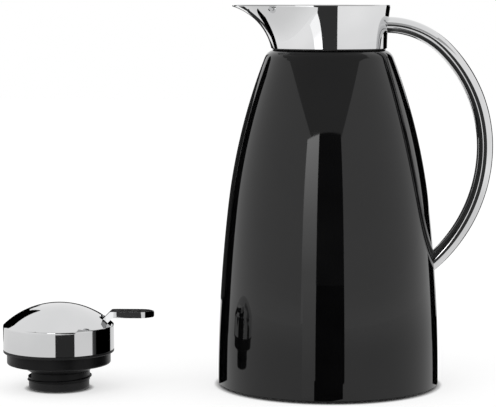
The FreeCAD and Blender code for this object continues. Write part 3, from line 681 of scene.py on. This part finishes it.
# Stopper
def cap_side(inset):
    """Outline of the cap from its foot to the top of its dome, moved in by inset."""
    dome_c = (0, CAP_TOP_Z - DOME_R)
    edge_r = CAP_EDGE_R - inset / 2
    edge_x = CAP_R - inset - edge_r
    edge_z = dome_c[1] + math.sqrt((DOME_R - inset - edge_r) ** 2 - edge_x ** 2)
    lean = math.degrees(math.atan2(edge_z - dome_c[1], edge_x))
    side = line((CAP_R - inset, CAP_FOOT_Z), (CAP_R - inset, edge_z), FINE_STEP)
    edge = arc((edge_x, edge_z), edge_r, 0, lean, CAP_EDGE_STEPS)
    dome = arc(dome_c, DOME_R - inset, lean, 90, DOME_STEPS)
    return side + edge + dome[1:]


def cap_shell():
    profile = cap_side(0) + cap_side(CAP_WALL)[::-1]
    slot = rounded([
        (SLOT_X[0], -SLOT_HALF, SLOT_CORNER_R),
        (SLOT_X[1], -SLOT_HALF, SLOT_CORNER_R),
        (SLOT_X[1], SLOT_HALF, SLOT_CORNER_R),
        (SLOT_X[0], SLOT_HALF, SLOT_CORNER_R),
    ])
    cut = prism(slot, from_above, (SLOT_FOOT_Z, CAP_TOP_Z))
    cap = carve(lathe(profile), cut, "DIFFERENCE")
    piece("domed_cap", cap, "stopper", "chrome", "cap_shell", STOPPER)


def lever_profile():
    """Side view of the lever: thumb plate, slant, hub and the arm to the stem."""
    slope = math.tan(math.radians(SLANT))
    top = LEVER_Z + LEVER_T
    bend_top_x = LEVER_BEND_X - LEVER_T * math.tan(math.radians(SLANT / 2))
    hub_x = PIVOT[0] + HUB_R
    hub_z = PIVOT[1] - HUB_R
    hub_back_x = PIVOT[0] - HUB_BACK
    arm_z = ARM_TOP_Z - ARM_T
    return rounded([
        (ARM_END_X, ARM_TOP_Z, ARM_EDGE_R),
        (ARM_END_X, arm_z, ARM_EDGE_R),
        (hub_back_x - (arm_z - hub_z), arm_z, ARM_BEND_R),
        (hub_back_x, hub_z, ARM_BEND_R),
        (hub_x, hub_z, HUB_EDGE_R),
        (hub_x, LEVER_Z - (LEVER_BEND_X - hub_x) * slope, LEVER_BEND_R),
        (LEVER_BEND_X, LEVER_Z, LEVER_BEND_R),
        (LEVER_TIP_X, LEVER_Z, LEVER_EDGE_R),
        (LEVER_TIP_X, top, LEVER_EDGE_R),
        (bend_top_x, top, LEVER_BEND_R),
        (bend_top_x - (top - ARM_TOP_Z) / slope, ARM_TOP_Z, LEVER_BEND_R),
    ], LEVER_STEP)


def lever_plan():
    """Top view of the lever: straight sides that turn in to a blunt nose."""
    turn_x = LEVER_TIP_X - (LEVER_HALF - LEVER_NOSE_HALF) / math.tan(math.radians(LEVER_TURN))
    back_x = 2 * ARM_END_X
    return rounded([
        (back_x, -LEVER_HALF),
        (turn_x, -LEVER_HALF, LEVER_TURN_R),
        (LEVER_TIP_X, -LEVER_NOSE_HALF, LEVER_NOSE_R),
        (LEVER_TIP_X, LEVER_NOSE_HALF, LEVER_NOSE_R),
        (turn_x, LEVER_HALF, LEVER_TURN_R),
        (back_x, LEVER_HALF),
    ], FINE_STEP)


def draft_slant(lever):
    """Draws the slant's sides in towards the hub."""
    draft = math.tan(math.radians(SLANT_DRAFT))
    slope = math.tan(math.radians(SLANT))
    for vertex in lever.verts:
        x, y, z = vertex.co
        if z > PIVOT[1] + HUB_R:
            crease_x = LEVER_BEND_X - SLANT_CREASE + (z - LEVER_Z) / slope
            past = min(max(0, crease_x - x), LEVER_HALF)
            vertex.co.y = y - math.copysign(draft * past, y)


def thumb_lever():
    across = (-2 * LEVER_HALF, 2 * LEVER_HALF)
    upward = (PIVOT[1] - 2 * HUB_R, LEVER_Z + 2 * LEVER_T)
    fork_end_x = 2 * ARM_END_X
    fork = [
        (fork_end_x, -FORK_HALF),
        (FORK_ROOT_X, -FORK_HALF),
        (FORK_ROOT_X, FORK_HALF),
        (fork_end_x, FORK_HALF),
    ]
    pin = arc(PIVOT, PIN_HOLE_R, 0, 360, PIN_SIDES)[:-1]
    lever = prism(lever_profile(), side_on, across)
    lever = carve(lever, prism(lever_plan(), from_above, upward), "INTERSECT")
    lever = carve(lever, prism(fork, from_above, upward), "DIFFERENCE")
    lever = carve(lever, prism(pin, side_on, across), "DIFFERENCE")
    draft_slant(lever)
    piece("lever_plate", lever, "lever", "chrome", "thumb_lever", STOPPER, bevel=LEVER_BEVEL)


def valve_spring():
    """Coil with closed ends, from the spring's foot to its top."""
    foot, top = SPRING_Z
    steps = COIL_STEPS * SPRING_TURNS
    rings = []
    for i in range(steps + 1):
        share = i / steps
        turn = 2 * math.pi * SPRING_TURNS * share
        z = foot + SPRING_WIRE_R + (top - foot - 2 * SPRING_WIRE_R) * share
        ring = []
        for out, up in arc((0, 0), SPRING_WIRE_R, 0, 360, WIRE_SIDES)[:-1]:
            ring.append(((SPRING_R + out) * math.cos(turn), (SPRING_R + out) * math.sin(turn), z + up))
        rings.append(ring)
    coil = piece("valve_coil", loft(rings, loop=False), "stopper", "steel", "valve_spring", STOPPER)
    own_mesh(coil)


# Stage nodes
def bare_material(name):
    """Material with nothing but its output, and the socket of its surface."""
    made = bpy.data.materials.new(name)
    made.use_nodes = True
    tree = made.node_tree
    tree.nodes.remove(tree.nodes["Principled BSDF"])
    return made, tree, tree.nodes["Material Output"].inputs["Surface"]


def math_node(tree, operation, first, second):
    """Result of two values, the second of them an output or a plain number."""
    made = tree.nodes.new("ShaderNodeMath")
    made.operation = operation
    tree.links.new(first, made.inputs[0])
    if isinstance(second, bpy.types.NodeSocket):
        tree.links.new(second, made.inputs[1])
    else:
        made.inputs[1].default_value = second
    return made.outputs["Value"]


def mix_shaders(tree, share, first, second):
    mix = tree.nodes.new("ShaderNodeMixShader")
    tree.links.new(share, mix.inputs["Fac"])
    tree.links.new(first, mix.inputs[1])
    tree.links.new(second, mix.inputs[2])
    return mix.outputs["Shader"]


def light_path(tree):
    """One for rays from the camera, a mirror or glass, and nought for light that falls on things."""
    path = tree.nodes.new("ShaderNodeLightPath")
    seen = path.outputs["Is Camera Ray"]
    for kind in ("Is Glossy Ray", "Is Transmission Ray"):
        seen = math_node(tree, "MAXIMUM", seen, path.outputs[kind])
    return seen


# Stage
def white_world(level):
    """White backdrop to look at, and even light of a plainer level."""
    world = bpy.data.worlds.new("studio")
    world.use_nodes = True
    bpy.context.scene.world = world
    tree = world.node_tree
    light = tree.nodes["Background"]
    backdrop = tree.nodes.new("ShaderNodeBackground")
    for background, strength in ((light, level), (backdrop, 1.0)):
        background.inputs["Color"].default_value = WHITE
        background.inputs["Strength"].default_value = strength
    shown = backdrop.outputs["Background"]
    mixed = mix_shaders(tree, light_path(tree), light.outputs["Background"], shown)
    tree.links.new(mixed, tree.nodes["World Output"].inputs["Surface"])


def stage_plane(name, corners, material):
    data = bpy.data.meshes.new(name)
    data.from_pydata([tuple(c * MM for c in corner) for corner in corners], [], [range(len(corners))])
    data.materials.append(material)
    plane = bpy.data.objects.new(name, data)
    bpy.context.scene.collection.objects.link(plane)
    return plane


def mirror_only(plane):
    """Hides a plane from all but mirrors."""
    plane.visible_camera = False
    plane.visible_diffuse = False
    plane.visible_shadow = False
    plane.visible_transmission = False


def upright(ends, heights, end_top=None):
    """Corners of a standing card between two places on the floor, with a level or sloping top."""
    start, end = ends
    low, top = heights
    far_top = top if end_top is None else end_top
    return [(*start, low), (*end, low), (*end, far_top), (*start, top)]


def lying(outline, z):
    """Corners of a card that lies level."""
    return [(x, y, z) for x, y in outline]


def floor(size, lift):
    """Pale floor that keeps a soft shadow, darker close to what stands on it."""
    made, tree, surface = bare_material("pale_floor")
    matt = tree.nodes.new("ShaderNodeBsdfDiffuse")
    matt.inputs["Color"].default_value = FLOOR_COLOUR
    contact = tree.nodes.new("ShaderNodeAmbientOcclusion")
    contact.inputs["Distance"].default_value = CONTACT_REACH * MM
    level = math_node(tree, "MULTIPLY", light_path(tree), lift)
    shade = math_node(tree, "POWER", contact.outputs["AO"], CONTACT_POWER)
    glow = tree.nodes.new("ShaderNodeEmission")
    tree.links.new(math_node(tree, "MULTIPLY", level, shade), glow.inputs["Strength"])
    both = tree.nodes.new("ShaderNodeAddShader")
    tree.links.new(matt.outputs["BSDF"], both.inputs[0])
    tree.links.new(glow.outputs["Emission"], both.inputs[1])
    tree.links.new(both.outputs["Shader"], surface)
    outline = [(-size, -size), (size, -size), (size, size), (-size, size)]
    stage_plane("floor", lying(outline, FLOOR_Z), made)


def near_floor(core, reach, near_level, far_level):
    """Floor as mirrors show it, with painted shade: a little darker near the carafe and fading from its
    core outward.
    """
    made, tree, surface = bare_material("near_floor")
    coords = tree.nodes.new("ShaderNodeTexCoord")
    distance = tree.nodes.new("ShaderNodeVectorMath")
    distance.operation = "LENGTH"
    tree.links.new(coords.outputs["Object"], distance.inputs[0])
    span = (core * MM, reach * MM)
    fade = map_range(tree, distance.outputs["Value"], span, (near_level, far_level))
    fade.interpolation_type = "SMOOTHSTEP"
    glow = tree.nodes.new("ShaderNodeEmission")
    tree.links.new(fade.outputs["Result"], glow.inputs["Strength"])
    tree.links.new(glow.outputs["Emission"], surface)
    outline = [point[:2] for point in circle(reach, 0, NEAR_FLOOR_SIDES)]
    mirror_only(stage_plane("near_floor", lying(outline, NEAR_FLOOR_Z), made))


def card(name, corners, strength, one_sided=False, foot_strength=None):
    """Studio card that only mirrors show, even or fading towards its foot."""
    made, tree, surface = bare_material(name)
    glow = tree.nodes.new("ShaderNodeEmission")
    glow.inputs["Strength"].default_value = strength
    shown = glow.outputs["Emission"]
    if foot_strength is not None:
        coords = tree.nodes.new("ShaderNodeTexCoord")
        height = tree.nodes.new("ShaderNodeSeparateXYZ")
        tree.links.new(coords.outputs["Generated"], height.inputs["Vector"])
        fade = map_range(tree, height.outputs["Z"], (FADE_START, 1.0), (foot_strength, strength))
        tree.links.new(fade.outputs["Result"], glow.inputs["Strength"])
    if one_sided:
        side = tree.nodes.new("ShaderNodeNewGeometry")
        clear = tree.nodes.new("ShaderNodeBsdfTransparent")
        shown = mix_shaders(tree, side.outputs["Backfacing"], shown, clear.outputs["BSDF"])
    tree.links.new(shown, surface)
    mirror_only(stage_plane(name, corners, made))


def front_cards():
    """Dark slanted card with a bright one beside it, mirrored as upright strips in shell and collar."""
    black = upright((FRONT_CORNER, FRONT_BLACK_END), FRONT_Z, FRONT_BLACK_END_TOP)
    card("front_black", black, DARK)
    bright = upright((FRONT_BRIGHT_END, FRONT_CORNER), FRONT_Z)
    card("front_bright", bright, FRONT_GLOW, foot_strength=FRONT_FOOT_GLOW)
    foot_black = upright((FOOT_BLACK_END, FOOT_CORNER), FOOT_CARD_Z)
    card("foot_black", foot_black, BLACK, one_sided=True)
    foot_bright = upright((FOOT_CORNER, FOOT_BRIGHT_END), FOOT_CARD_Z)
    card("foot_bright", foot_bright, FOOT_GLOW, one_sided=True, foot_strength=FOOT_LOW_GLOW)
    card("foot_black_low", upright(FOOT_LOW_ENDS, FOOT_LOW_Z), BLACK, one_sided=True)


def overhead_card():
    """Grey card overhead, widening to the back, with an open bay above the stopper."""
    front_y, back_y = OVERHEAD_Y
    outline = [
        (OVERHEAD_FRONT_X[0], front_y),
        (OVERHEAD_FRONT_X[1], front_y),
        (OVERHEAD_BACK_X[1], back_y),
        (BAY_X[1], back_y),
        (BAY_X[1], BAY_Y),
        (BAY_X[0], BAY_Y),
        (BAY_X[0], back_y),
        (OVERHEAD_BACK_X[0], back_y),
    ]
    card("overhead", lying(outline, OVERHEAD_Z), GREY)


def shoulder_card():
    """Small grey card above the shell's shoulder, seen only from below."""
    card("shoulder_shade", lying(SHOULDER_OUTLINE, SHOULDER_Z), GREY, one_sided=True)


def side_flags(name, side, near, far, low_near, low_far, low_top):
    """Black flag behind on one side, with a low one and a dark floor towards the shell's edge."""
    foot = [(side * near, FLAG_Y), (side * far, FLAG_Y)]
    low = [(side * low_near, LOW_FLAG_Y), (side * low_far, LOW_FLAG_Y)]
    edge = Vector((side * SHELL_EDGE[0], SHELL_EDGE[1]))
    narrow = [tuple(edge.lerp(Vector(corner), FLAG_FLOOR_SHARE)) for corner in foot[::-1]]
    card(name + "_flag", upright(foot, FLAG_Z), BLACK)
    card(name + "_flag_low", upright(low, (0, low_top)), BLACK)
    card(name + "_flag_floor", lying(foot + narrow, FLOOR_CARD_Z), BLACK)


def back_cards():
    """Dark strips far behind, which the bright edges mirror."""
    for name, places, heights in (
        ("back_black", BACK_X, BACK_Z),
        ("back_black_left", BACK_LEFT_X, BACK_LEFT_Z),
    ):
        ends = [(x, BACK_Y) for x in places]
        card(name, upright(ends, heights), NEAR_BLACK)
    card("back_low", upright(BACK_LOW_ENDS, BACK_LOW_Z), NEAR_BLACK)
    outline = [
        (BACK_FLOOR_X[0], BACK_FLOOR_Y[0]),
        (BACK_FLOOR_X[1], BACK_FLOOR_Y[0]),
        (BACK_FLOOR_X[1], BACK_FLOOR_Y[1]),
        (BACK_FLOOR_X[0], BACK_FLOOR_Y[1]),
    ]
    card("back_floor", lying(outline, FLOOR_CARD_Z), NEAR_BLACK)


def stopper_cards():
    """Small cards round the stopper, for the dark windows and shades in its chrome."""
    near, middle, far = CAP_WINDOW
    near_top, middle_top, far_top = CAP_WINDOW_TOPS
    window = [(*near, 0), (*far, 0), (*far, far_top), (*middle, middle_top), (*near, near_top)]
    card("cap_window", window, NEAR_BLACK, one_sided=True)
    card("lever_window", upright(LEVER_WINDOW_ENDS, LEVER_WINDOW_Z), DARK_GREY, one_sided=True)
    card("carafe_shade", upright(CARAFE_SHADE_ENDS, CARAFE_SHADE_Z), BLACK, one_sided=True)
    dome_shade = upright(DOME_SHADE_ENDS, DOME_SHADE_Z, DOME_SHADE_END_TOP)
    card("dome_shade", dome_shade, BLACK, one_sided=True)


def handle_cards():
    """Dark cards for the bands along the handle's middle and its inner edge."""
    card("handle_front", upright(HANDLE_FRONT_ENDS, HANDLE_FRONT_Z), DARK, one_sided=True)
    card("handle_shade", upright(HANDLE_SHADE_ENDS, HANDLE_SHADE_Z), NEAR_BLACK, one_sided=True)


def lamp(name, place, aim, size, energy):
    """Square lamp of a size in millimetres and an energy in watts, which mirrors don't show."""
    data = bpy.data.lights.new(name, "AREA")
    data.size = size * MM
    data.energy = energy
    made = bpy.data.objects.new(name, data)
    made.location = [c * MM for c in place]
    made.rotation_euler = (Vector(aim) - Vector(place)).to_track_quat("-Z", "Y").to_euler()
    made.visible_glossy = False
    bpy.context.scene.collection.objects.link(made)


def camera():
    """Camera at the photograph's height and angle."""
    data = bpy.data.cameras.new("photo_camera")
    data.sensor_width = CAMERA_SENSOR
    data.lens = CAMERA_LENS
    made = bpy.data.objects.new("photo_camera", data)
    made.location = [c * MM for c in CAMERA]
    made.rotation_euler = (math.radians(90 - CAMERA_TILT), 0, math.radians(CAMERA_TURN))
    bpy.context.scene.collection.objects.link(made)
    bpy.context.scene.camera = made


# The object
dress_nodes()
outer_shell()
collar()
handle()
threads()
cap_shell()
thumb_lever()
valve_spring()

# The studio
white_world(level=0.8)
floor(size=4000, lift=0.62)
front_cards()
near_floor(core=250, reach=750, near_level=0.84, far_level=1.03)
overhead_card()
shoulder_card()
side_flags("left", -1, near=350, far=610, low_near=73.5, low_far=96, low_top=58)
side_flags("right", 1, near=200, far=430, low_near=70.7, low_far=84, low_top=46)
back_cards()
stopper_cards()
handle_cards()
lamp("key", place=(-700, -900, 1300), aim=(-50, 0, 100), size=900, energy=3)
lamp("fill", place=(900, -600, 1000), aim=(0, 0, 100), size=900, energy=1.5)
camera()
bpy.context.scene.view_settings.view_transform = "Standard"

bpy.context.view_layer.update()
